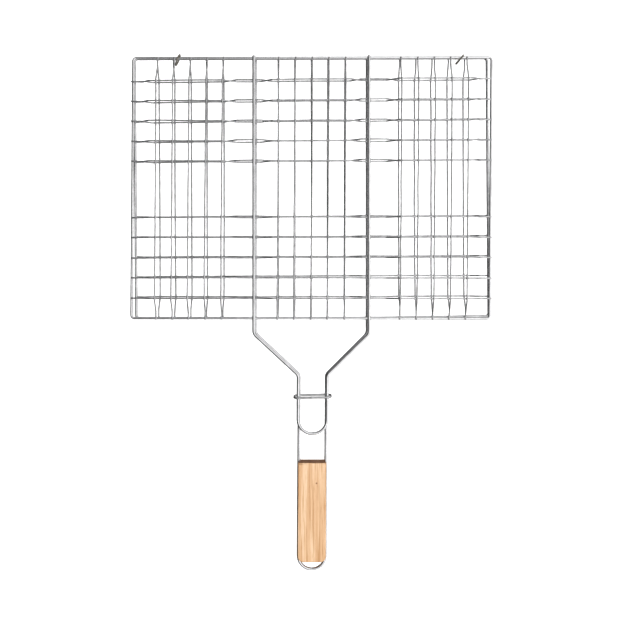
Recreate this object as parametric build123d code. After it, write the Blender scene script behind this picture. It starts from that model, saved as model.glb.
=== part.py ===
from build123d import *
import os
from math import cos, radians, sin

# Hinged wire grill basket, millimetres, +Z up.
# Two dished wire halves are held together at the rear by two loose split rings.  The lower half (base)
# carries a long handle wire with a wooden grip and a hanging loop.  The upper half (lid) ends in a short
# U-shaped tongue, and an oblong latch ring slides along both handle wires to hold the halves shut.
# Axes: +Y points to the hinge side, -Y to the hanging loop, X runs across.  The origin is the bottom centre
# of the bounding box, so the closed basket stands on z = 0 on its lower long wires and its grip.

# ---- wire stock -------------------------------------------------------------------------------------
FRAME_D = 3.0
HANDLE_D = 3.5
THIN_D = 1.8
LATCH_D = 2.6
RING_D = 1.8
WELD = 0.1            # how far crossing wires sink into each other where they are spot-welded

# ---- plan sizes -------------------------------------------------------------------------------------
FRAME_LENGTH = 290.2  # front to rear, between wire centres
BASE_HALF_WIDTH = 196.7
LID_HALF_WIDTH = 199.3
FRAME_CORNER_R = 3.5
ROWS_PER_SIDE = 5
REAR_FIRST_ROW = 24.8 # from the rear frame wire to the nearest cross wire
FRONT_FIRST_ROW = 23.2
ROW_PITCH = 22.5
ROW_SHIFT = 1.4       # the cross wires of the two halves stand this far either side of their common place
PACK_PITCH = 18.27    # long wires of the two outer packs
OUTER_LONG_X = 171.9
MIDDLE_PITCH = 18.63  # long wires of the middle pack
WIRES_PER_PACK = 5
BASE_HANDLE_X = 62.4
LID_HANDLE_X = 63.9
BASE_NECK_X = 15.25
LID_NECK_X = 16.7

# ---- lengths along the handle, from the front frame wire towards the loop ----------------------------
FLARE_START = 17.5
FLARE_END = 63.0
LATCH_AT = 87.2
TONGUE_END = 128.0
GRIP_START = 160.5
GRIP_LENGTH = 110.5
LOOP_END = 281.4
BASE_TIP = 0.5        # handle wire ends beyond the rear frame wire's centre
LID_TIP = 2.2
BASE_WIRE_END = 0.9   # long wire ends beyond the frame wire's centre
LID_WIRE_END = 1.7
CROSS_WIRE_END = 1.8

# ---- heights, from the mid-plane outwards (the lid goes up, the base goes down) ----------------------
HALF_GAP = 0.15
POCKET_CROSS = 11.7
FRAME_H = HALF_GAP + FRAME_D / 2
THIN_ON_FRAME = FRAME_H + (FRAME_D + THIN_D) / 2 - WELD
HANDLE_H = FRAME_H + (FRAME_D + HANDLE_D) / 2 - WELD
CROSS_AT_HANDLE = HANDLE_H - (HANDLE_D + THIN_D) / 2 + WELD
POCKET_LONG = POCKET_CROSS + THIN_D - WELD
MID_Z = POCKET_LONG + THIN_D / 2

# ---- bends in the thin wires ------------------------------------------------------------------------
THIN_BEND_R = 3.0
SIDE_RAMP = (187.0, 179.5)     # |x| where a cross wire leaves frame level, and where it reaches the pocket
OUTER_RAMP = (97.5, 83.5)      # |x| of the ramp on the outer side of a handle wire
INNER_RAMP = (56.0, 43.5)      # |x| of the ramp on its inner side
LONG_RAMP = 14.0               # run of a long wire's ramp, which ends just short of the first row
RAMP_TO_ROW = 1.3
HANDLE_BEND_R = 8.0
TURN_FLAT = 0.05               # straight left between the two quarter bends of a U-turn

# ---- grip -------------------------------------------------------------------------------------------
GRIP_WIDTH = 31.2
GRIP_HEIGHT = 2 * (MID_Z - HANDLE_H)
GRIP_CORNER_R = 6.0
GRIP_EDGE_R = 1.0
GROOVE_PLAY = 0.05

# ---- latch ring and hinge rings ---------------------------------------------------------------------
LATCH_PLAY = 0.45
LATCH_INNER_HALF_WIDTH = LID_NECK_X + HANDLE_D / 2 + LATCH_PLAY
LATCH_INNER_HALF_HEIGHT = HANDLE_H + HANDLE_D / 2 + LATCH_PLAY
LATCH_CORNER_R = 3.9
HINGE_RING_R = 6.3             # centre-line radius
HINGE_RING_GAP = 16.0          # degrees left open where the two ends nearly meet
LEFT_RING = {"x": -149.4, "behind": -2.7, "yaw": 22.0, "gap_at": 200.0}
RIGHT_RING = {"x": 165.4, "behind": -1.8, "yaw": 40.0, "gap_at": 200.0}

# ---- places along Y ---------------------------------------------------------------------------------
RING_REACH = LEFT_RING["behind"] + HINGE_RING_R * cos(radians(LEFT_RING["yaw"])) + RING_D / 2
TOTAL_LENGTH = RING_REACH + FRAME_LENGTH + LOOP_END + HANDLE_D / 2
REAR_Y = TOTAL_LENGTH / 2 - RING_REACH
FRONT_Y = REAR_Y - FRAME_LENGTH

HALVES = {
    "base": {
        "side": -1,
        "half_width": BASE_HALF_WIDTH,
        "handle_x": BASE_HANDLE_X,
        "neck_x": BASE_NECK_X,
        "tip": BASE_TIP,
        "wire_end": BASE_WIRE_END,
        "row_shift": ROW_SHIFT,
    },
    "lid": {
        "side": 1,
        "half_width": LID_HALF_WIDTH,
        "handle_x": LID_HANDLE_X,
        "neck_x": LID_NECK_X,
        "tip": LID_TIP,
        "wire_end": LID_WIRE_END,
        "row_shift": -ROW_SHIFT,
    },
}


def height(half, offset):
    """z of a wire that lies offset outwards from the mid-plane on the given half."""
    return MID_Z + half["side"] * offset


def round_wire(path, diameter):
    """A solid round wire along a path."""
    section = Plane(origin=path @ 0, z_dir=path % 0) * Circle(diameter / 2)
    return sweep(section, path=path)


def bent_wire(points, diameter, bends):
    """A wire with straight runs between points, joined by tangent arcs."""
    return round_wire(FilletPolyline(*points, radius=bends), diameter)


def row_places(half):
    """Y of each cross wire of one half, from the hinge side to the handle side."""
    steps = [step * ROW_PITCH for step in range(ROWS_PER_SIDE)]
    rear = [REAR_Y - REAR_FIRST_ROW - step for step in steps]
    front = [FRONT_Y + FRONT_FIRST_ROW + step for step in reversed(steps)]
    return [y + half["row_shift"] for y in rear + front]


def long_places():
    """X of each long wire, from left to right: an outer pack, the middle pack, an outer pack."""
    outer = [OUTER_LONG_X - step * PACK_PITCH for step in range(WIRES_PER_PACK)]
    middle = [(step - WIRES_PER_PACK // 2) * MIDDLE_PITCH for step in range(WIRES_PER_PACK)]
    return [-x for x in outer] + middle + list(reversed(outer))


def frame_wire(half):
    """The closed rectangular frame of one half."""
    z = height(half, FRAME_H)
    x = half["half_width"]
    corners = [(-x, REAR_Y, z), (-x, FRONT_Y, z), (x, FRONT_Y, z), (x, REAR_Y, z)]
    path = FilletPolyline(*corners, radius=FRAME_CORNER_R, close=True)
    return round_wire(path, FRAME_D)


def cross_wire_points(half, y):
    """Frame level at both sides and at both handle wires, and pocket level in the three pockets."""
    frame_z = height(half, THIN_ON_FRAME)
    pocket_z = height(half, POCKET_CROSS)
    handle_z = height(half, CROSS_AT_HANDLE)
    left = [
        (-half["half_width"] - CROSS_WIRE_END, y, frame_z),
        (-SIDE_RAMP[0], y, frame_z),
        (-SIDE_RAMP[1], y, pocket_z),
        (-OUTER_RAMP[0], y, pocket_z),
        (-OUTER_RAMP[1], y, handle_z),
        (-INNER_RAMP[0], y, handle_z),
        (-INNER_RAMP[1], y, pocket_z),
    ]
    right = [(-x, y, z) for x, y, z in reversed(left)]
    return left + right


def long_wire_points(half, x):
    """Frame level at the front and rear, and pocket level between the first and the last cross wire."""
    rows = row_places(half)
    frame_z = height(half, THIN_ON_FRAME)
    pocket_z = height(half, POCKET_LONG)
    return [
        (x, REAR_Y + half["wire_end"], frame_z),
        (x, rows[0] + RAMP_TO_ROW + LONG_RAMP, frame_z),
        (x, rows[0] + RAMP_TO_ROW, pocket_z),
        (x, rows[-1] - RAMP_TO_ROW, pocket_z),
        (x, rows[-1] - RAMP_TO_ROW - LONG_RAMP, frame_z),
        (x, FRONT_Y - half["wire_end"], frame_z),
    ]


def handle_wire_points(half, end):
    """One wire from the rear frame wire, in to the neck, round a U-turn at the end, and back."""
    z = height(half, HANDLE_H)
    left = [
        (-half["handle_x"], REAR_Y + half["tip"], z),
        (-half["handle_x"], FRONT_Y - FLARE_START, z),
        (-half["neck_x"], FRONT_Y - FLARE_END, z),
        (-half["neck_x"], FRONT_Y - end, z),
    ]
    right = [(-x, y, z) for x, y, z in reversed(left)]
    return left + right


def handle_wire(half, end, diameter=HANDLE_D):
    """The handle wire of one half, or the groove it needs when a larger diameter is given."""
    turn_r = half["neck_x"] - TURN_FLAT
    bends = [HANDLE_BEND_R, HANDLE_BEND_R, turn_r, turn_r, HANDLE_BEND_R, HANDLE_BEND_R]
    return bent_wire(handle_wire_points(half, end), diameter, bends)


def wood_grip(base):
    """A flat block with a side groove for each leg of the handle wire, rounded at the loop end."""
    centre_y = FRONT_Y - GRIP_START - GRIP_LENGTH / 2
    block = Pos(0, centre_y, GRIP_HEIGHT / 2) * Box(GRIP_WIDTH, GRIP_LENGTH, GRIP_HEIGHT)
    loop_corners = block.edges().filter_by(Axis.Z).group_by(Axis.Y)[0]
    block = fillet(loop_corners, GRIP_CORNER_R)
    outline = block.faces().sort_by(Axis.Z)[-1].edges() + block.faces().sort_by(Axis.Z)[0].edges()
    block = fillet(outline, GRIP_EDGE_R)
    return block - handle_wire(base, LOOP_END, HANDLE_D + 2 * GROOVE_PLAY)


def latch_ring():
    """A closed oblong ring around both necks, square to the handle."""
    y = FRONT_Y - LATCH_AT
    x = LATCH_INNER_HALF_WIDTH + LATCH_D / 2
    rise = LATCH_INNER_HALF_HEIGHT + LATCH_D / 2
    corners = [
        (-x, y, MID_Z - rise),
        (x, y, MID_Z - rise),
        (x, y, MID_Z + rise),
        (-x, y, MID_Z + rise),
    ]
    return round_wire(FilletPolyline(*corners, radius=LATCH_CORNER_R, close=True), LATCH_D)


def hinge_ring(place):
    """A split ring, standing upright around both rear frame wires and turned about Z by its yaw."""
    yaw = radians(place["yaw"])
    upright = Plane(
        origin=(place["x"], REAR_Y + place["behind"], MID_Z),
        x_dir=(sin(yaw), cos(yaw), 0),
        z_dir=(cos(yaw), -sin(yaw), 0),
    )
    start = place["gap_at"] + HINGE_RING_GAP / 2
    path = upright * CenterArc((0, 0), HINGE_RING_R, start, 360 - HINGE_RING_GAP)
    return round_wire(path, RING_D)


def all_parts():
    """Every node of the basket, by name."""
    base = HALVES["base"]
    lid = HALVES["lid"]
    parts = {}
    for name, half in HALVES.items():
        parts[f"{name}_frame"] = frame_wire(half)
        for number, x in enumerate(long_places(), start=1):
            points = long_wire_points(half, x)
            parts[f"{name}_long_wire_{number:02d}"] = bent_wire(points, THIN_D, THIN_BEND_R)
        for number, y in enumerate(row_places(half), start=1):
            points = cross_wire_points(half, y)
            parts[f"{name}_cross_wire_{number:02d}"] = bent_wire(points, THIN_D, THIN_BEND_R)
    parts["base_handle_wire"] = handle_wire(base, LOOP_END)
    parts["lid_latch_wire"] = handle_wire(lid, TONGUE_END)
    parts["latch_ring"] = latch_ring()
    parts["left_hinge_ring"] = hinge_ring(LEFT_RING)
    parts["right_hinge_ring"] = hinge_ring(RIGHT_RING)
    parts["wood_grip"] = wood_grip(base)
    return parts


os.makedirs("parts", exist_ok=True)
for node, shape in all_parts().items():
    export_step(shape, f"parts/{node}.step")
    print(f"{node}: {shape.volume:.1f} mm3")
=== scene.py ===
from math import ceil, cos, pi, radians, sin, tan

import bpy
import numpy as np
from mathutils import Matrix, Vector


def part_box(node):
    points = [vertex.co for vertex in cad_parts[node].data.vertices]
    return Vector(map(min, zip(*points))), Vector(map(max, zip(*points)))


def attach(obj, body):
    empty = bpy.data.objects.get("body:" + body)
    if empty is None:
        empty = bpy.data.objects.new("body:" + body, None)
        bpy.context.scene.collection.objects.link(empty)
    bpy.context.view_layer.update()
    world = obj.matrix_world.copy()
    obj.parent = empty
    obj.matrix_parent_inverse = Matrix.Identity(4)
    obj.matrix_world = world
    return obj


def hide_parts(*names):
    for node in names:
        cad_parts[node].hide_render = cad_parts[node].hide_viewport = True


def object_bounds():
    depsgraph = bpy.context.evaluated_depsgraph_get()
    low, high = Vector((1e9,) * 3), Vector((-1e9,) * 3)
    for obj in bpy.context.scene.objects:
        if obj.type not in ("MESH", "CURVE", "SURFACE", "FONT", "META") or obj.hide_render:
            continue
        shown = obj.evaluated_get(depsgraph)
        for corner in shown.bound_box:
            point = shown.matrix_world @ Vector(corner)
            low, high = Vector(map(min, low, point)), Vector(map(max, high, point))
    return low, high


# A chromed wire grill basket, seen from straight above.  Every wire is redrawn as a smooth tube along the
# place of its CAD wire, with the small unevenness of hand-bent, spot-welded wire.  Lengths are in metres.
# +Y is the hinge side, -Y the hanging loop.  "base" is the lower wire half and "lid" the upper one.

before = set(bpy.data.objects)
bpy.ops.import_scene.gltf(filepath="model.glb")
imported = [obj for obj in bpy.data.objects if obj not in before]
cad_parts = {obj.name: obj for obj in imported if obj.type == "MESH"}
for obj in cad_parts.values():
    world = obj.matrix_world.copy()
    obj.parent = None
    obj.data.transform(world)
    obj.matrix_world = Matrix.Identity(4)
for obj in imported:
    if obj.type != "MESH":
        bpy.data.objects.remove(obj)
cad_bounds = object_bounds()

MM = 0.001
ROWS = 10
LONGS = 15
UP = np.array([0.0, 0.0, 1.0])

# ---- shape of the bent wires ------------------------------------------------------------------------
# As in the CAD model, but the necks stand a little closer together and the grip's neck end is squarer.
THIN_BEND_R = 3.0 * MM
SIDE_RAMP = (187.0 * MM, 179.5 * MM)
OUTER_RAMP = (97.5 * MM, 83.5 * MM)
INNER_RAMP = (56.0 * MM, 43.5 * MM)
LONG_RAMP = 14.0 * MM
RAMP_TO_ROW = 1.3 * MM
FRAME_CORNER_R = 3.5 * MM
HANDLE_BEND_R = 8.0 * MM
FLARE_START = 17.5 * MM
FLARE_END = 63.0 * MM
NECK_X = {"base": 15.15 * MM, "lid": 16.1 * MM}
TURN_FLAT = 0.05 * MM
LATCH_CORNER_R = 3.9 * MM
HINGE_WIRE_R = 0.9 * MM
RING_YAW = {"left": radians(22.0), "right": radians(40.0)}
RING_GAP_AT = radians(200.0)
RING_GAP = radians(16.0)
GRIP_LOOP_CORNER = 6.0 * MM
GRIP_NECK_CORNER = 1.2 * MM
GRIP_EDGE = 1.1 * MM
GROOVE_R = 1.8 * MM
GROOVE_DEPTH = 1.9 * MM
GROOVE_FADE = 6        # how sharply the groove dies away round the grip's corners
WEAR_WAVE = 9.0 * MM
WEAR_SWELL = 0.25
WEAR_ROUGH = 0.15

# ---- fineness of the meshes -------------------------------------------------------------------------
ARC_STEP = radians(7.0)
STRAIGHT_STEP = 5.0 * MM
THIN_SIDES = 14
THICK_SIDES = 24
GRIP_STEP = 4.0 * MM
GRIP_CORNER_STEPS = 8
GRIP_EDGE_STEPS = 5
GROOVE_STEPS = 9
LATCH_SUBSTEPS = 4
NUGGET_RINGS = 4
NUGGET_SIDES = 8
BACKDROP_SIDES = 96

# ---- unevenness of hand work ------------------------------------------------------------------------
SHIFT = 0.14 * MM      # a whole wire stands off its place by about this much
LEAN = 0.30 * MM       # and its two ends differ by about this much
SAG = 0.28 * MM        # and it bows by about this much between them
RIPPLE = 0.10 * MM     # and it waves by about this much
RIPPLE_WAVES = (3, 5)
RAMP_SPREAD = (0.75, 1.3)
LEFT_RAMP = 1.22       # the ramps at the hinge side are longer to the left
LONG_TRIM = {"base": 0.0, "lid": 0.8 * MM}   # how much shorter than in the CAD the rear ends are clipped
ROW_TRIM = 0.8 * MM                          # and both ends of the cross wires
TIP_BLUNT = 0.35       # the bevel of a wire's cut end, and the radius left there, as parts of its radius
TIP_RADIUS = 0.72
NUGGET_SIZE = np.array([1.0, 1.0, 0.55])   # in thin wire radii
NUGGET_SPREAD = (0.75, 1.1)
hand = np.random.default_rng(27)

# ---- how the finished basket is out of true ---------------------------------------------------------
# rear_left and front_right are how far that corner stands forward or back; rear_x and front_x how far the
# rear and the front stand sideways, the more so towards the sides where x_power is above 0
SET = {
    "base": {
        "rear_left": 1.0 * MM,
        "front_right": 2.3 * MM,
        "rear_x": -0.8 * MM,
        "front_x": 1.2 * MM,
        "x_power": 3,
    },
    "lid": {
        "rear_left": 0.7 * MM,
        "front_right": -0.5 * MM,
        "rear_x": 1.2 * MM,
        "front_x": -1.0 * MM,
        "x_power": 0,
    },
}
ROW_FAN = 1.9 * MM
ROW_SPREAD_V = (0.0, 0.4, 0.6, 1.0)        # how far the rows of each half stand off, from front to rear
ROW_SPREAD = (-0.65 * MM, -0.65 * MM, 0.1 * MM, 0.3 * MM)
IN_FRONT_V = (0.4, 0.6)
FRONT_RIGHT = 0.5 * MM                     # and further off at the front right
LEFT_FLARE_V = (0.0, 0.45, 0.6, 0.75, 1.0)
LEFT_FLARE = (0.0, 0.0, 0.9 * MM, 0.8 * MM, 0.2 * MM)
LEFT_FLARE_FROM = 0.4
LEFT_FLARE_RUN = 0.5
END_EASE = 0.7 * MM                        # the rear rows draw together over the frame
END_FROM = 0.9
END_RUN = 0.1
HANDLE_SWAY_Y = (-287 * MM, -68 * MM, -22 * MM)
HANDLE_SWAY_X = (0.3 * MM, 1.5 * MM, 0.0)
LATCH_ASKEW = radians(1.3)
LATCH_TILT = radians(-2.6)
LATCH_WELD_X = -1.1 * MM
LATCH_WELD_RUN = 1.3 * MM
LATCH_WELD_BULGE = 0.16
RING_SHIFT = {"left": (0.45 * MM, 0.25 * MM, 0.0), "right": (0.0, 0.0, 0.0)}
RING_LEAN = {"left": radians(3.0), "right": radians(3.0)}
RING_SPLIT = 0.5 * MM                      # how far a split ring's two ends miss each other sideways

# ---- colours and finishes ---------------------------------------------------------------------------
WHITE = (1.0, 1.0, 1.0)
BLACK = (0.0, 0.0, 0.0)
CHROME = ((0.76, 0.76, 0.77), (0.90, 0.90, 0.91))
# the same chrome painted darker for the base half's frame: painted shade of the lower half under the lid
CHROME_PAINTED_SHADE = ((0.64, 0.64, 0.65), (0.82, 0.82, 0.83))
CHROME_THIN = ((0.50, 0.50, 0.51), (0.72, 0.72, 0.73))
RING_STEEL = ((0.20, 0.185, 0.155), (0.36, 0.335, 0.285))
WELD_STEEL = ((0.42, 0.41, 0.40), (0.66, 0.65, 0.64))
CLOUD_PLACES = (0.35, 0.62)
PATCHES_TO_CLOUDS = 2.5
PATCH_SHIFT = (3, 1, 2)
MARK_SCALE = 2600
MARK_DEPTH = 0.06 * MM
GRAIN_BROAD = (190, 9.0, 60)               # the wood's stretch across, along and down, for each grain
GRAIN_LINES = (720, 20.0, 300)
GRAIN_PORES = (2300, 110, 2600)
PORE_DEPTH = 0.08 * MM
FINE = 4.0
WOOD_DARK = (0.50, 0.29, 0.145)
WOOD_MID = (0.565, 0.355, 0.20)
WOOD_LIGHT = (0.64, 0.445, 0.285)
WOOD_STREAK = (0.76, 0.66, 0.52)
WOOD_PORE = (0.84, 0.78, 0.70)
KNOT = (0.30, 0.20, 0.12)
KNOT_X = 5.7 * MM
KNOT_FROM_END = 22.6 * MM
KNOT_RADII = (0.5 * MM, 1.3 * MM)
END_GRAIN = (0.28, 0.18, 0.10)
FLOOR_COLOURS = ((0.86, 0.86, 0.86), (0.88, 0.88, 0.88))
BACKDROP_COLOURS = ((0.97, 0.97, 0.97), WHITE)


# ---- centre-lines -----------------------------------------------------------------------------------
def unit(v):
    return v / np.linalg.norm(v)


def straight(a, b):
    """Points from a up to, but not including, b."""
    count = max(1, ceil(np.linalg.norm(b - a) / STRAIGHT_STEP))
    return [a + (b - a) * k / count for k in range(count)]


def corner(before, at, after, radius):
    """The tangent arc that rounds one corner, as a list of points."""
    into, out = unit(at - before), unit(after - at)
    turn = np.arccos(np.clip(into @ out, -1, 1))
    reach = radius * tan(turn / 2)
    middle = at + unit(out - into) * radius / cos(turn / 2)
    start = at - into * reach - middle
    side = unit(into) * radius
    count = max(2, ceil(turn / ARC_STEP))
    angles = [turn * k / count for k in range(count + 1)]
    return [middle + start * cos(a) + side * sin(a) for a in angles]


def bent_line(points, radii, closed=False):
    """Straight runs joined by tangent arcs, sampled closely enough for a smooth tube."""
    points = [np.array(p, float) for p in points]
    total = len(points)
    inner = range(total) if closed else range(1, total - 1)
    arcs = [
        corner(points[k - 1], points[k], points[(k + 1) % total], radii[n])
        for n, k in enumerate(inner)
    ]
    line = [] if closed else straight(points[0], arcs[0][0])
    for k, arc in enumerate(arcs):
        following = arcs[(k + 1) % len(arcs)][0] if closed or k + 1 < len(arcs) else points[-1]
        line += arc[:-1] + straight(arc[-1], following)
    if not closed:
        line.append(points[-1])
    return np.array(line)


def uneven(line, along, across):
    """The line with a small shift, lean, bow and ripple sideways, as a hand-laid wire has."""
    low, high = line[:, along].min(), line[:, along].max()
    t = (line[:, along] - low) / (high - low) * 2 - 1
    shift, lean, sag, ripple = hand.normal(size=4) * (SHIFT, LEAN, SAG, RIPPLE)
    phase, waves = hand.uniform(0, 2 * pi), hand.uniform(*RIPPLE_WAVES)
    moved = line.copy()
    moved[:, across] += shift + lean * t / 2 + sag * (1 - t * t) + ripple * np.sin(waves * t * pi + phase)
    return moved


def across_and_along(half, points):
    """Where points lie in a half: -1..1 from left to right, and 0..1 from front wire to rear wire."""
    u = points[:, 0] / half["half_width"]
    v = (points[:, 1] - half["front"]) / (half["rear"] - half["front"])
    return u, np.clip(v, 0, 1)


def out_of_true(half, points):
    """The set of one half: its frame is not quite square, and the two halves are skewed to each other."""
    u, v = across_and_along(half, points)
    true = SET[half["name"]]
    moved = np.array(points, float)
    rear = -true["rear_left"] * (1 - u) / 2
    front = true["front_right"] * np.clip(u, 0, 1) ** 2
    moved[:, 1] += rear * v + front * (1 - v)
    moved[:, 0] += (true["rear_x"] * v + true["front_x"] * (1 - v)) * np.abs(u) ** true["x_power"]
    return moved


def row_set(half, points):
    """The cross wires fan out from left to right, part at the left, and draw together at the frame."""
    u, v = across_and_along(half, points)
    in_front = np.interp(v, IN_FRONT_V, (1, 0))
    apart = np.interp(v, ROW_SPREAD_V, ROW_SPREAD) + FRONT_RIGHT * np.clip(u, 0, 1) * in_front
    flare = np.clip((-u - LEFT_FLARE_FROM) / LEFT_FLARE_RUN, 0, 1)
    at_left = np.interp(v, LEFT_FLARE_V, LEFT_FLARE) * flare
    at_ends = END_EASE * np.clip((np.abs(u) - END_FROM) / END_RUN, 0, 1) * (1 - in_front)
    moved = np.array(points, float)
    moved[:, 1] += ROW_FAN * u * v + half["side"] * (at_left + at_ends - apart)
    return moved


def sway(points):
    """The handle stands slightly to the right at the neck and comes back towards the loop."""
    moved = np.array(points, float)
    moved[:, 0] += np.interp(points[:, 1], HANDLE_SWAY_Y, HANDLE_SWAY_X)
    return moved


# ---- tubes ------------------------------------------------------------------------------------------
def frames_along(line, closed):
    """For each point, two directions square to the line that don't twist along it."""
    if closed:
        tangents = np.roll(line, -1, 0) - np.roll(line, 1, 0)
    else:
        tangents = np.gradient(line, axis=0)
    tangents /= np.linalg.norm(tangents, axis=1)[:, None]
    spread = np.ptp(line, axis=0)
    first = np.eye(3)[int(np.argmin(spread))]
    sideways = []
    for tangent in tangents:
        first = unit(first - tangent * (first @ tangent))
        sideways.append(first)
    sideways = np.array(sideways)
    return sideways, np.cross(tangents, sideways), tangents


def tube(name, line, radius, sides, closed=False):
    """A round wire as one closed mesh.  radius is a number, or one number for each point of the line."""
    radii = np.broadcast_to(radius, len(line)).astype(float)
    a, b, tangents = frames_along(line, closed)
    if not closed:
        blunt = TIP_BLUNT * radii[0]
        tips = radii[:1] * TIP_RADIUS, radii[-1:] * TIP_RADIUS
        line = np.vstack([line[:1], line[:1] + tangents[:1] * blunt, line[1:-1],
                          line[-1:] - tangents[-1:] * blunt, line[-1:]])
        radii = np.concatenate([tips[0], radii, tips[1]])
        a = np.vstack([a[:1], a, a[-1:]])
        b = np.vstack([b[:1], b, b[-1:]])
    angles = np.arange(sides) * 2 * pi / sides
    ring = np.cos(angles)[None, :, None] * a[:, None, :] + np.sin(angles)[None, :, None] * b[:, None, :]
    verts = (line[:, None, :] + ring * radii[:, None, None]).reshape(-1, 3)
    count = len(line)
    faces = []
    for k in range(count if closed else count - 1):
        low, high = k * sides, (k + 1) % count * sides
        for s in range(sides):
            faces.append((low + s, low + (s + 1) % sides, high + (s + 1) % sides, high + s))
    if not closed:
        faces.append(tuple(reversed(range(sides))))
        faces.append(tuple(range((count - 1) * sides, count * sides)))
    return add_mesh(name, verts, faces)


def add_mesh(name, verts, faces, smooth=True):
    mesh = bpy.data.meshes.new(name)
    mesh.from_pydata([tuple(v) for v in verts], [], faces)
    mesh.polygons.foreach_set("use_smooth", [smooth] * len(mesh.polygons))
    mesh.update()
    piece = bpy.data.objects.new(name, mesh)
    bpy.context.scene.collection.objects.link(piece)
    return piece


def stands_for(piece, node, body, material):
    """Dresses a redrawn piece and lets it take its CAD node's place."""
    piece.data.materials.append(material)
    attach(piece, body)
    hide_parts(node)
    return piece


# ---- materials --------------------------------------------------------------------------------------
def new_material(name):
    """A node material, with its nodes, its links and its shader."""
    material = bpy.data.materials.new(name)
    material.use_nodes = True
    nodes = material.node_tree.nodes
    return material, nodes, material.node_tree.links, nodes["Principled BSDF"]


def noise(nodes, links, vector, scale, detail=3.0):
    node = nodes.new("ShaderNodeTexNoise")
    node.inputs["Scale"].default_value = scale
    node.inputs["Detail"].default_value = detail
    links.new(vector, node.inputs["Vector"])
    return node.outputs["Fac"]


def stretched(nodes, links, scale, location=(0, 0, 0)):
    """Object coordinates, stretched by a scale for each axis."""
    coords = nodes.new("ShaderNodeTexCoord")
    mapping = nodes.new("ShaderNodeMapping")
    mapping.inputs["Scale"].default_value = scale
    mapping.inputs["Location"].default_value = location
    links.new(coords.outputs["Object"], mapping.inputs["Vector"])
    return mapping.outputs["Vector"]


def ramp(nodes, links, value, stops):
    """A colour ramp from (place, colour) pairs."""
    stops = list(stops)
    node = nodes.new("ShaderNodeValToRGB")
    elements = node.color_ramp.elements
    while len(elements) < len(stops):
        elements.new(0.5)
    for element, (place, colour) in zip(elements, stops):
        element.position = place
        element.color = (*colour, 1.0)
    links.new(value, node.inputs["Fac"])
    return node.outputs["Color"]


def remap(nodes, links, value, low, high):
    """0..1 to low..high."""
    node = nodes.new("ShaderNodeMapRange")
    node.inputs["To Min"].default_value = low
    node.inputs["To Max"].default_value = high
    links.new(value, node.inputs["Value"])
    return node.outputs["Result"]


def bump(nodes, links, shader, value, strength, distance):
    """Gives the shader a relief from a value."""
    node = nodes.new("ShaderNodeBump")
    node.inputs["Strength"].default_value = strength
    node.inputs["Distance"].default_value = distance
    links.new(value, node.inputs["Height"])
    links.new(node.outputs["Normal"], shader.inputs["Normal"])


def metal(name, colours, rough, cloud_scale, bump_strength):
    """Plated or bare wire: cloudy colour, patchy roughness and fine drawing marks."""
    dark, light = colours
    material, nodes, links, shader = new_material(name)
    shader.inputs["Metallic"].default_value = 1.0
    clouds = noise(nodes, links, stretched(nodes, links, (1, 1, 1)), cloud_scale)
    links.new(ramp(nodes, links, clouds, zip(CLOUD_PLACES, (dark, light))), shader.inputs["Base Color"])
    elsewhere = stretched(nodes, links, (1, 1, 1), PATCH_SHIFT)
    patches = noise(nodes, links, elsewhere, cloud_scale * PATCHES_TO_CLOUDS)
    links.new(remap(nodes, links, patches, *rough), shader.inputs["Roughness"])
    marks = noise(nodes, links, stretched(nodes, links, (1, 1, 1)), MARK_SCALE, FINE)
    bump(nodes, links, shader, marks, bump_strength, MARK_DEPTH)
    return material


def wood():
    """Light straight-grained wood: growth lines, fine pores, darker sawn ends and one pin knot."""
    material, nodes, links, shader = new_material("grip_wood")
    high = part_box("wood_grip")[1]
    broad = noise(nodes, links, stretched(nodes, links, GRAIN_BROAD), 1.0, FINE)
    lines = noise(nodes, links, stretched(nodes, links, GRAIN_LINES, (7, 0, 3)), 1.0, FINE)
    pores = noise(nodes, links, stretched(nodes, links, GRAIN_PORES), 1.0, 2.0)
    tone = ramp(nodes, links, broad, [(0.36, WOOD_DARK), (0.50, WOOD_MID), (0.62, WOOD_LIGHT)])
    streaks = ramp(nodes, links, lines, [(0.38, WOOD_STREAK), (0.52, WHITE)])
    dots = ramp(nodes, links, pores, [(0.30, WOOD_PORE), (0.42, WHITE)])
    colour = multiply(nodes, links, multiply(nodes, links, tone, streaks), dots)

    knot_place = (KNOT_X, high.y - KNOT_FROM_END, high.z)
    coords = nodes.new("ShaderNodeTexCoord")
    reach = nodes.new("ShaderNodeVectorMath")
    reach.operation = "DISTANCE"
    reach.inputs[1].default_value = knot_place
    links.new(coords.outputs["Object"], reach.inputs[0])
    knot = nodes.new("ShaderNodeMapRange")
    knot.inputs["From Min"].default_value = KNOT_RADII[0]
    knot.inputs["From Max"].default_value = KNOT_RADII[1]
    links.new(reach.outputs["Value"], knot.inputs["Value"])
    knot_colour = ramp(nodes, links, knot.outputs["Result"], [(0.0, KNOT), (1.0, WHITE)])
    colour = multiply(nodes, links, colour, knot_colour)

    geometry = nodes.new("ShaderNodeNewGeometry")
    parts = nodes.new("ShaderNodeSeparateXYZ")
    links.new(geometry.outputs["True Normal"], parts.inputs["Vector"])
    facing = nodes.new("ShaderNodeMath")
    facing.operation = "ABSOLUTE"
    links.new(parts.outputs["Y"], facing.inputs[0])
    sawn = ramp(nodes, links, facing.outputs["Value"], [(0.55, WHITE), (0.9, END_GRAIN)])
    colour = multiply(nodes, links, colour, sawn)
    links.new(colour, shader.inputs["Base Color"])
    links.new(remap(nodes, links, lines, 0.42, 0.62), shader.inputs["Roughness"])
    shader.inputs["Specular IOR Level"].default_value = 0.35
    bump(nodes, links, shader, pores, 0.35, PORE_DEPTH)
    return material


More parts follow.
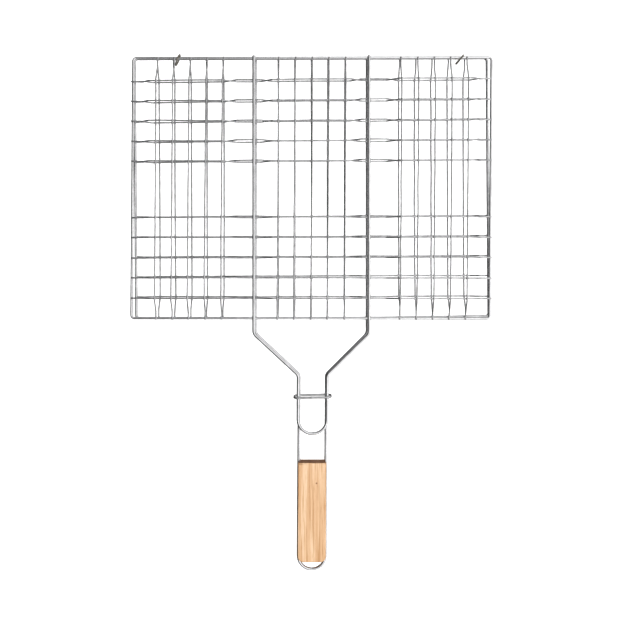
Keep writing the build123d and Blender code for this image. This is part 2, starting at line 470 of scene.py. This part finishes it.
def mix(nodes, links, first, second, blend):
    """Two colours blended in full.  A Mix node has sockets of every type: the colour ones are picked."""
    node = nodes.new("ShaderNodeMix")
    node.data_type = "RGBA"
    node.blend_type = blend
    node.inputs["Factor"].default_value = 1.0
    colours_in = [socket for socket in node.inputs if socket.type == "RGBA"]
    colour_out = [socket for socket in node.outputs if socket.type == "RGBA"][0]
    links.new(first, colours_in[0])
    links.new(second, colours_in[1])
    return colour_out


def multiply(nodes, links, first, second):
    return mix(nodes, links, first, second, "MULTIPLY")


def add(nodes, links, first, second):
    return mix(nodes, links, first, second, "ADD")


chrome = metal("chrome_wire", CHROME, (0.10, 0.26), 90, 0.12)
# a darker copy of the chrome: painted shade for the base frame under the lid
chrome_painted_shade = metal("chrome_painted_shade_wire", CHROME_PAINTED_SHADE, (0.12, 0.28), 90, 0.12)
chrome_thin = metal("chrome_thin_wire", CHROME_THIN, (0.14, 0.32), 140, 0.15)
bare_steel = metal("hinge_ring_steel", RING_STEEL, (0.22, 0.42), 260, 0.25)
weld_steel = metal("weld_metal", WELD_STEEL, (0.25, 0.45), 900, 0.30)
grip_wood = wood()


# ---- the two wire halves ----------------------------------------------------------------------------
def half_sizes(name):
    """Heights, rows and long wire places of one half, read from its CAD nodes."""
    side = 1 if name == "lid" else -1
    low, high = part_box(f"{name}_frame")
    longs = [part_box(f"{name}_long_wire_{n:02d}") for n in range(1, LONGS + 1)]
    rows = [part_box(f"{name}_cross_wire_{n:02d}") for n in range(1, ROWS + 1)]
    thin_r = (longs[0][1].x - longs[0][0].x) / 2
    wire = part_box("base_handle_wire" if name == "base" else "lid_latch_wire")
    ends = {"rear": wire[1].y, "end": wire[0].y, "x": wire[1].x, "z": (wire[0].z + wire[1].z) / 2,
            "r": (wire[1].z - wire[0].z) / 2}

    def levels(box):
        """Height at the frame and height in the pockets of a thin wire's centre."""
        inner, outer = (box[0].z, box[1].z) if side > 0 else (box[1].z, box[0].z)
        return inner + side * thin_r, outer - side * thin_r

    return {
        "name": name,
        "side": side,
        "thin_r": thin_r,
        "frame_r": (high.z - low.z) / 2,
        "frame_z": (high.z + low.z) / 2,
        "half_width": high.x - (high.z - low.z) / 2,
        "rear": high.y - (high.z - low.z) / 2,
        "front": low.y + (high.z - low.z) / 2,
        "long_x": [(a.x + b.x) / 2 for a, b in longs],
        "long_ends": (longs[0][1].y, longs[0][0].y),
        "long_z": levels(longs[0]),
        "row_y": [(a.y + b.y) / 2 for a, b in rows],
        "row_end": rows[0][1].x,
        "row_z": levels(rows[0]),
        "handle": ends,
    }


def draw_frame(half):
    """The closed rectangle of heavier wire round one half."""
    x, z, r = half["half_width"], half["frame_z"], half["frame_r"]
    corners = [(-x, half["rear"], z), (-x, half["front"], z), (x, half["front"], z), (x, half["rear"], z)]
    line = bent_line(corners, [FRAME_CORNER_R] * 4, closed=True)
    line = out_of_true(half, line)
    piece = tube(f"{half['name']}_frame_wire", line, r, THICK_SIDES, closed=True)
    # the base frame takes the darker chrome, painted shade for the half that lies under the lid
    plating = chrome if half["name"] == "lid" else chrome_painted_shade
    stands_for(piece, f"{half['name']}_frame", half["name"], plating)


def long_wire_line(half, x):
    """Frame level over the rear and front bars, and deep in the pockets, with ramps of uneven length."""
    frame_z, pocket_z = half["long_z"]
    first, last = half["row_y"][0] + RAMP_TO_ROW, half["row_y"][-1] - RAMP_TO_ROW
    rear_ramp, front_ramp = LONG_RAMP * hand.uniform(*RAMP_SPREAD, size=2)
    if x < 0:
        rear_ramp *= LEFT_RAMP
    points = [
        (x, half["long_ends"][0] - LONG_TRIM[half["name"]], frame_z),
        (x, first + rear_ramp, frame_z),
        (x, first, pocket_z),
        (x, last, pocket_z),
        (x, last - front_ramp, frame_z),
        (x, half["long_ends"][1], frame_z),
    ]
    return out_of_true(half, uneven(bent_line(points, [THIN_BEND_R] * 4), 1, 0))


def cross_wire_line(half, y):
    """Frame level over the side bars, nearer the middle under the handle wire, and deep in the pockets."""
    handle_z, pocket_z = half["row_z"]
    side_z = half["long_z"][0]
    left = [
        (ROW_TRIM - half["row_end"], y, side_z),
        (-SIDE_RAMP[0], y, side_z),
        (-SIDE_RAMP[1], y, pocket_z),
        (-OUTER_RAMP[0], y, pocket_z),
        (-OUTER_RAMP[1], y, handle_z),
        (-INNER_RAMP[0], y, handle_z),
        (-INNER_RAMP[1], y, pocket_z),
    ]
    points = left + [(-px, py, pz) for px, py, pz in reversed(left)]
    return row_set(half, uneven(bent_line(points, [THIN_BEND_R] * 12), 0, 1))


def draw_grid(half):
    """The thin wires of one half."""
    name = half["name"]
    for n, x in enumerate(half["long_x"], start=1):
        node = f"{name}_long_wire_{n:02d}"
        piece = tube(f"{node}_tube", long_wire_line(half, x), half["thin_r"], THIN_SIDES)
        stands_for(piece, node, name, chrome_thin)
    for n, y in enumerate(half["row_y"], start=1):
        node = f"{name}_cross_wire_{n:02d}"
        piece = tube(f"{node}_tube", cross_wire_line(half, y), half["thin_r"], THIN_SIDES)
        stands_for(piece, node, name, chrome_thin)


def draw_handle(half, node):
    """The handle wire: down one side of the basket, round the end of the handle, and back."""
    z, r = half["handle"]["z"], half["handle"]["r"]
    x = half["handle"]["x"] - r
    neck = NECK_X[half["name"]]
    left = [
        (-x, half["handle"]["rear"], z),
        (-x, half["front"] - FLARE_START, z),
        (-neck, half["front"] - FLARE_END, z),
        (-neck, half["handle"]["end"] + r, z),
    ]
    points = left + [(-px, py, pz) for px, py, pz in reversed(left)]
    turn = neck - TURN_FLAT
    bends = [HANDLE_BEND_R, HANDLE_BEND_R, turn, turn, HANDLE_BEND_R, HANDLE_BEND_R]
    line = bent_line(points, bends)
    line[:, 1] = out_of_true(half, line)[:, 1]
    piece = tube(f"{node}_tube", sway(line), r, THICK_SIDES)
    stands_for(piece, node, half["name"], chrome)


def nugget(centre, size):
    """A small lens of weld metal, as vertices and faces."""
    rings, sides = NUGGET_RINGS, NUGGET_SIDES
    verts = [centre + size * (0, 0, 1)]
    for k in range(1, rings):
        a = pi * k / rings
        for s in range(sides):
            b = 2 * pi * s / sides
            verts.append(centre + size * (sin(a) * cos(b), sin(a) * sin(b), cos(a)))
    verts.append(centre - size * (0, 0, 1))
    last = len(verts) - 1
    faces = []
    for s in range(sides):
        t = (s + 1) % sides
        faces.append((0, 1 + s, 1 + t))
        faces.append((last, last - sides + t, last - sides + s))
        for k in range(rings - 2):
            low, high = 1 + k * sides, 1 + (k + 1) * sides
            faces.append((low + s, high + s, high + t, low + t))
    return verts, faces


def draw_welds(half):
    """Weld metal squeezed out where the wires of one half cross."""
    r = half["thin_r"]
    side = half["side"]
    over_frame = half["frame_z"] + side * half["frame_r"]
    handle_x = half["handle"]["x"] - half["handle"]["r"]
    under_handle = half["row_z"][0] + side * r
    sides = (-half["half_width"], half["half_width"])
    bars = (half["rear"], half["front"])
    on_rows = [(x, y, half["row_z"][1] + side * r) for x in half["long_x"] for y in half["row_y"]]
    on_rows += [(x, y, over_frame) for x in sides for y in half["row_y"]]
    on_rows += [(x, y, under_handle) for x in (-handle_x, handle_x) for y in half["row_y"]]
    on_bars = [(x, y, over_frame) for x in half["long_x"] for y in bars]
    on_bars += [(x, y, over_frame) for x in (-handle_x, handle_x) for y in bars]
    places = np.vstack([row_set(half, np.array(on_rows)), out_of_true(half, np.array(on_bars))])
    verts, faces = [], []
    for place in places:
        size = r * NUGGET_SIZE * hand.uniform(*NUGGET_SPREAD)
        more_verts, more_faces = nugget(np.array(place), size)
        faces += [tuple(i + len(verts) for i in face) for face in more_faces]
        verts += more_verts
    piece = add_mesh(f"{half['name']}_weld_nuggets", verts, faces)
    piece.data.materials.append(weld_steel)
    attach(piece, half["name"])


# ---- rings ------------------------------------------------------------------------------------------
def draw_latch_ring():
    """An oblong ring, a little askew, with the bead of its butt weld on the upper bar."""
    low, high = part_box("latch_ring")
    r = (high.y - low.y) / 2
    x, y = high.x - r, (low.y + high.y) / 2
    corners = [(-x, y, low.z + r), (x, y, low.z + r), (x, y, high.z - r), (-x, y, high.z - r)]
    line = bent_line(corners, [LATCH_CORNER_R] * 4, closed=True)
    fine = []
    for a, b in zip(line, np.roll(line, -1, 0)):
        fine += [a + (b - a) * k / LATCH_SUBSTEPS for k in range(LATCH_SUBSTEPS)]
    line = np.array(fine)
    from_weld = np.linalg.norm(line - np.array([LATCH_WELD_X, y, high.z - r]), axis=1)
    radii = r * (1 + LATCH_WELD_BULGE * np.exp(-((from_weld / LATCH_WELD_RUN) ** 2)))
    line[:, 1] += line[:, 0] * tan(LATCH_ASKEW) + (line[:, 2] - (low.z + high.z) / 2) * tan(LATCH_TILT)
    line = sway(line)
    piece = tube("latch_ring_wire", line, radii, THICK_SIDES, closed=True)
    stands_for(piece, "latch_ring", "latch_ring", chrome_thin)


def draw_hinge_ring(side):
    """A split ring whose two cut ends miss each other a little sideways."""
    node = f"{side}_hinge_ring"
    low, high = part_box(node)
    centre = np.array([(a + b) / 2 for a, b in zip(low, high)])
    r = HINGE_WIRE_R
    ring_r = (high.z - low.z) / 2 - r
    yaw = RING_YAW[side]
    outward = np.array([sin(yaw), cos(yaw), 0.0])
    square = np.array([cos(yaw), -sin(yaw), 0.0])
    upward = unit(UP + square * tan(RING_LEAN[side]))
    centre += RING_SHIFT[side]
    start = RING_GAP_AT + RING_GAP / 2
    sweep = 2 * pi - RING_GAP
    steps = ceil(sweep / ARC_STEP)
    line = []
    for k in range(steps + 1):
        a = start + sweep * k / steps
        offset = square * (k / steps - 0.5) * RING_SPLIT
        line.append(centre + ring_r * (cos(a) * outward + sin(a) * upward) + offset)
    piece = tube(f"{node}_wire", np.array(line), r, THICK_SIDES)
    stands_for(piece, node, node, bare_steel)


# ---- grip -------------------------------------------------------------------------------------------
def grip_outline(low, high):
    """Points round the grip as seen from above, with the direction each one faces."""
    points, facing = [], []
    turns = [
        (low.x, low.y, GRIP_LOOP_CORNER, pi), (high.x, low.y, GRIP_LOOP_CORNER, 1.5 * pi),
        (high.x, high.y, GRIP_NECK_CORNER, 0.0), (low.x, high.y, GRIP_NECK_CORNER, 0.5 * pi),
    ]
    for x, y, radius, start in turns:
        centre_x = x - radius if x > 0 else x + radius
        centre_y = y - radius if y == high.y else y + radius
        for k in range(GRIP_CORNER_STEPS + 1):
            a = start + pi / 2 * k / GRIP_CORNER_STEPS
            points.append((centre_x + radius * cos(a), centre_y + radius * sin(a)))
            facing.append((cos(a), sin(a)))
    return along_the_sides(np.array(points), np.array(facing))


def along_the_sides(points, facing):
    """The outline again, with further points wherever two neighbours are far apart."""
    out_points, out_facing = [], []
    for k in range(len(points)):
        following = (k + 1) % len(points)
        gap = np.linalg.norm(points[following] - points[k])
        steps = max(1, round(gap / GRIP_STEP))
        for step in range(steps):
            out_points.append(points[k] + (points[following] - points[k]) * step / steps)
            out_facing.append(facing[k] if step == 0 or gap > GRIP_STEP else facing[following])
    return np.array(out_points), np.array(out_facing)


def grip_levels(bottom, top, groove_z):
    """Height and inset of each course of the grip's side: a worn edge, the wire's groove, a worn edge."""
    edge = [(1 - cos(a), 1 - sin(a)) for a in np.linspace(0, pi / 2, GRIP_EDGE_STEPS)]
    lower = [(bottom + GRIP_EDGE * rise, GRIP_EDGE * inset, 0.0) for rise, inset in edge]
    groove = [
        (groove_z - GROOVE_R * cos(a), 0.0, GROOVE_DEPTH * sin(a))
        for a in np.linspace(0, pi, GROOVE_STEPS)
    ]
    upper = [(top - GRIP_EDGE * rise, GRIP_EDGE * inset, 0.0) for rise, inset in reversed(edge)]
    return lower + groove + upper


def draw_grip():
    """The wooden block, its long sides grooved for the wire, its edges sanded a little unevenly."""
    low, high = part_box("wood_grip")
    points, facing = grip_outline(low, high)
    groove_z = base["handle"]["z"]
    levels = grip_levels(low.z, high.z, groove_z)
    rough = WEAR_ROUGH * hand.normal(size=len(points))
    wear = 1 + WEAR_SWELL * np.sin(points[:, 1] / WEAR_WAVE) + rough
    beside_wire = np.abs(facing[:, 0]) ** GROOVE_FADE
    verts = []
    for z, inset, groove in levels:
        depth = (inset * wear + groove * beside_wire)[:, None]
        course = np.column_stack([points - facing * depth, np.full(len(points), z)])
        verts.append(sway(course))
    verts = np.vstack(verts)
    sides = len(points)
    faces = []
    for k in range(len(levels) - 1):
        for s in range(sides):
            t = (s + 1) % sides
            faces.append((k * sides + s, k * sides + t, (k + 1) * sides + t, (k + 1) * sides + s))
    faces.append(tuple(reversed(range(sides))))
    faces.append(tuple(range((len(levels) - 1) * sides, len(levels) * sides)))
    piece = add_mesh("grip_block", verts, faces)
    piece.data.polygons[len(faces) - 2].use_smooth = False
    piece.data.polygons[len(faces) - 1].use_smooth = False
    stands_for(piece, "wood_grip", "base", grip_wood)


# ---- floor, light and camera ------------------------------------------------------------------------
BACKDROP_R = 6.0
BACKDROP_HEIGHT = 9.0
BACKDROP_FOOT = -0.01
FLOOR_Z = -0.4 * MM
FLOOR_ROUGHNESS = 0.9
FLOOR_GLOW = 0.6


def draw_floor():
    """A pale backlit table.  Glossy rays pass it, so the wires keep their dark rims."""
    half = BACKDROP_R
    corners = [(-half, -half, 0), (half, -half, 0), (half, half, 0), (-half, half, 0)]
    floor = add_mesh("floor", corners, [(0, 1, 2, 3)], smooth=False)
    floor.location.z = FLOOR_Z
    material, nodes, links, shader = new_material("floor_white")
    grain = noise(nodes, links, stretched(nodes, links, (1, 1, 1)), 3.0)
    pale = ramp(nodes, links, grain, [(0.3, FLOOR_COLOURS[0]), (0.7, FLOOR_COLOURS[1])])
    links.new(pale, shader.inputs["Base Color"])
    shader.inputs["Roughness"].default_value = FLOOR_ROUGHNESS
    shader.inputs["Specular IOR Level"].default_value = 0.0
    shader.inputs["Emission Color"].default_value = (*WHITE, 1)
    shader.inputs["Emission Strength"].default_value = FLOOR_GLOW
    floor.data.materials.append(material)
    floor.visible_glossy = False


def draw_backdrop():
    """A pale wall all round, seen by the camera alone, so that a low view has no dark horizon."""
    sides = BACKDROP_SIDES
    verts, faces = [], []
    for k in range(sides):
        a = 2 * pi * k / sides
        verts += [(BACKDROP_R * cos(a), BACKDROP_R * sin(a), z) for z in (BACKDROP_FOOT, BACKDROP_HEIGHT)]
        following = (k + 1) % sides
        faces.append((2 * k, 2 * following, 2 * following + 1, 2 * k + 1))
    wall = add_mesh("backdrop", verts, faces)
    material, nodes, links, shader = new_material("backdrop_white")
    haze = noise(nodes, links, stretched(nodes, links, (1, 1, 1)), 0.3)
    pale = ramp(nodes, links, haze, [(0.3, BACKDROP_COLOURS[0]), (0.7, BACKDROP_COLOURS[1])])
    links.new(pale, shader.inputs["Emission Color"])
    shader.inputs["Base Color"].default_value = (*BLACK, 1)
    shader.inputs["Specular IOR Level"].default_value = 0.0
    shader.inputs["Emission Strength"].default_value = 1.0
    wall.data.materials.append(material)
    wall.visible_glossy = False
    wall.visible_diffuse = False
    wall.visible_shadow = False


# Grey levels of the studio by direction: 0 to 1 stands for -1 to 1 along an axis.
SKY_UP = [(0.0, 0.34), (0.45, 0.20), (0.62, 0.15), (0.82, 0.30), (0.91, 0.95), (0.98, 1.30)]
SKY_ACROSS = [(0.0, 0.18), (0.41, 0.08), (0.50, 0.68), (0.57, 1.0)]
SKY_ALONG = [(0.42, 1.22), (0.50, 1.10), (0.60, 0.86)]
RIGHT_WALL = [(0.62, 0.0), (0.82, 0.38), (1.0, 0.56)]
END_WALLS = [(0.0, 0.32), (0.30, 0.0), (0.70, 0.0), (1.0, 0.48)]


def world_light():
    """Bright overhead, dark to the left, with a dimmer wall to the right, in front and behind."""
    world = bpy.data.worlds.new("studio")
    bpy.context.scene.world = world
    world.use_nodes = True
    nodes, links = world.node_tree.nodes, world.node_tree.links
    background = nodes["Background"]
    coords = nodes.new("ShaderNodeTexCoord")
    parts = nodes.new("ShaderNodeSeparateXYZ")
    links.new(coords.outputs["Generated"], parts.inputs["Vector"])

    def graded(axis, stops):
        value = nodes.new("ShaderNodeMapRange")
        value.inputs["From Min"].default_value = -1.0
        links.new(parts.outputs[axis], value.inputs["Value"])
        return ramp(nodes, links, value.outputs["Result"], [(p, (g, g, g)) for p, g in stops])

    overhead = multiply(nodes, links, graded("Z", SKY_UP), graded("X", SKY_ACROSS))
    overhead = multiply(nodes, links, overhead, graded("Y", SKY_ALONG))
    walls = add(nodes, links, graded("X", RIGHT_WALL), graded("Y", END_WALLS))
    sky = add(nodes, links, overhead, walls)
    links.new(sky, background.inputs["Color"])


def area_light(name, location, rotation, size, power):
    """A rectangular lamp that lights matt surfaces, and isn't seen in the chrome."""
    data = bpy.data.lights.new(name, "AREA")
    data.shape = "RECTANGLE"
    data.size, data.size_y = size
    data.energy = power
    light = bpy.data.objects.new(name, data)
    light.location = location
    light.rotation_euler = rotation
    light.visible_glossy = False
    bpy.context.scene.collection.objects.link(light)


SENSOR_WIDTH = 36.0
PHOTO_WIDTH = 697 * MM          # width of the view at the basket's middle height
CAMERA_DISTANCE = 940 * MM
CAMERA_FOOT_Y = 42.5 * MM
VIEW_CENTRE = (1.2 * MM, 0.7 * MM)


def place_camera():
    """Straight above, a little behind the middle, with the photograph's framing."""
    low, high = cad_bounds
    data = bpy.data.cameras.new("camera")
    data.sensor_width = SENSOR_WIDTH
    data.lens = data.sensor_width * CAMERA_DISTANCE / PHOTO_WIDTH
    data.shift_x = VIEW_CENTRE[0] / PHOTO_WIDTH
    data.shift_y = (VIEW_CENTRE[1] - CAMERA_FOOT_Y) / PHOTO_WIDTH
    camera = bpy.data.objects.new("camera", data)
    camera.location = (0.0, CAMERA_FOOT_Y, (low[2] + high[2]) / 2 + CAMERA_DISTANCE)
    bpy.context.scene.collection.objects.link(camera)
    bpy.context.scene.camera = camera


place_camera()
base, lid = half_sizes("base"), half_sizes("lid")
for half in (base, lid):
    draw_frame(half)
    draw_grid(half)
    draw_welds(half)
draw_handle(base, "base_handle_wire")
draw_handle(lid, "lid_latch_wire")
draw_latch_ring()
draw_hinge_ring("left")
draw_hinge_ring("right")
draw_grip()

draw_floor()
draw_backdrop()
world_light()
area_light("overhead", location=(0.0, 0.0, 2.2), rotation=(0, 0, 0), size=(2.4, 2.4), power=60)
area_light("right_fill", location=(1.9, 0.2, 1.2), rotation=(0, radians(58), 0), size=(1.0, 1.6), power=14)
bpy.context.scene.view_settings.view_transform = "Standard"
